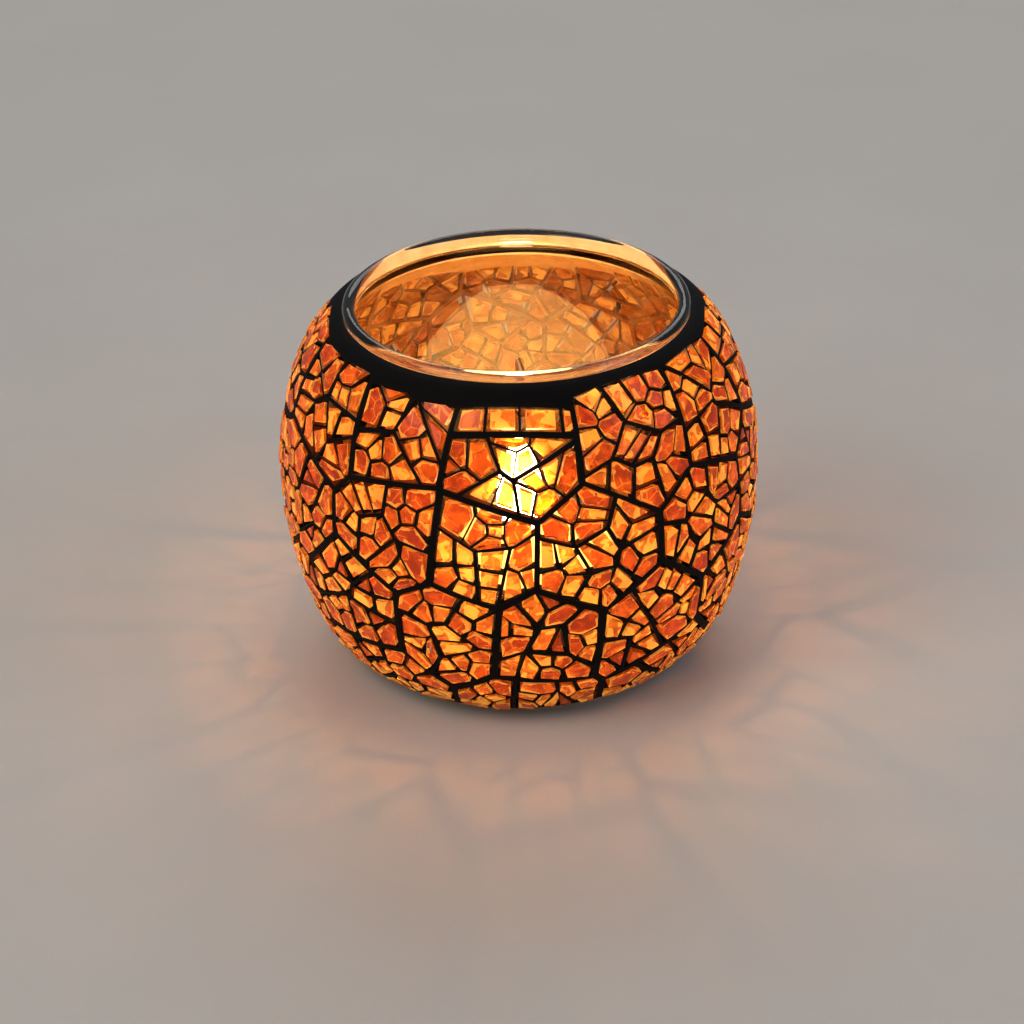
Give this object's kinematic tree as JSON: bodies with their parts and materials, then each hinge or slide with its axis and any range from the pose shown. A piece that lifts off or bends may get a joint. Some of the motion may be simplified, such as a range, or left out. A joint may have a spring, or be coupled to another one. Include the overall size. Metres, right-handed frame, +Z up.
{
  "type": "tealight holder",
  "caption": "Round clear glass bowl with an outer skin of shattered amber glass mosaic in black grout, holding a lift-out tealight.",
  "frame": {"origin": "on the standing surface, under the centre of the foot", "axes": "+Z up along the bowl's axis of revolution; -Y is the side that the picture shows nearest"},
  "size_m": [0.0905, 0.0903, 0.07],
  "materials": {
    "clear_glass": "clear, fire polished",
    "amber_glass": "amber glass chips, glossy faces, bright broken edges",
    "clear_adhesive": "clear adhesive film",
    "black_grout": "matt, fine sanded cement grout",
    "cup_aluminium": "bright pressed foil sheet",
    "candle_wax": "paraffin wax with a melted, glossy top",
    "wick_cotton": "braided cotton, charred at the tip",
    "tab_steel": "tinned steel"
  },
  "bodies": {
    "holder": {"glass_bowl": "clear_glass", "adhesive_bed": "clear_adhesive", "grout": "black_grout", "foot_tile_01": "amber_glass", "foot_tile_02": "amber_glass", "foot_tile_03": "amber_glass", "foot_tile_04": "amber_glass", "foot_tile_05": "amber_glass", "foot_tile_06": "amber_glass", "foot_tile_07": "amber_glass", "foot_tile_08": "amber_glass", "foot_tile_09": "amber_glass", "foot_tile_10": "amber_glass", "lower_belly_tile_01": "amber_glass", "lower_belly_tile_02": "amber_glass", "lower_belly_tile_03": "amber_glass", "lower_belly_tile_04": "amber_glass", "lower_belly_tile_05": "amber_glass", "lower_belly_tile_06": "amber_glass", "lower_belly_tile_07": "amber_glass", "lower_belly_tile_08": "amber_glass", "lower_belly_tile_09": "amber_glass", "lower_belly_tile_10": "amber_glass", "lower_belly_tile_11": "amber_glass", "lower_belly_tile_12": "amber_glass", "lower_belly_tile_13": "amber_glass", "shoulder_tile_01": "amber_glass", "shoulder_tile_02": "amber_glass", "shoulder_tile_03": "amber_glass", "shoulder_tile_04": "amber_glass", "shoulder_tile_05": "amber_glass", "shoulder_tile_06": "amber_glass", "shoulder_tile_07": "amber_glass", "shoulder_tile_08": "amber_glass", "shoulder_tile_09": "amber_glass", "shoulder_tile_10": "amber_glass", "shoulder_tile_11": "amber_glass", "shoulder_tile_12": "amber_glass", "upper_belly_tile_01": "amber_glass", "upper_belly_tile_02": "amber_glass", "upper_belly_tile_03": "amber_glass", "upper_belly_tile_04": "amber_glass", "upper_belly_tile_05": "amber_glass", "upper_belly_tile_06": "amber_glass", "upper_belly_tile_07": "amber_glass", "upper_belly_tile_08": "amber_glass", "upper_belly_tile_09": "amber_glass", "upper_belly_tile_10": "amber_glass", "upper_belly_tile_11": "amber_glass", "upper_belly_tile_12": "amber_glass", "upper_belly_tile_13": "amber_glass"},
    "cup": {"tealight_cup": "cup_aluminium"},
    "candle": {"wax_slug": "candle_wax", "wick": "wick_cotton", "wick_tab": "tab_steel"}
  },
  "joints": [
    {"name": "tealight_lift", "type": "slide", "parent": "holder", "child": "cup", "axis": [0, 0, 1], "range_m": [0, 0.075]},
    {"name": "wax_lift", "type": "slide", "parent": "cup", "child": "candle", "axis": [0, 0, 1], "range_m": [0, 0.018]}
  ]
}
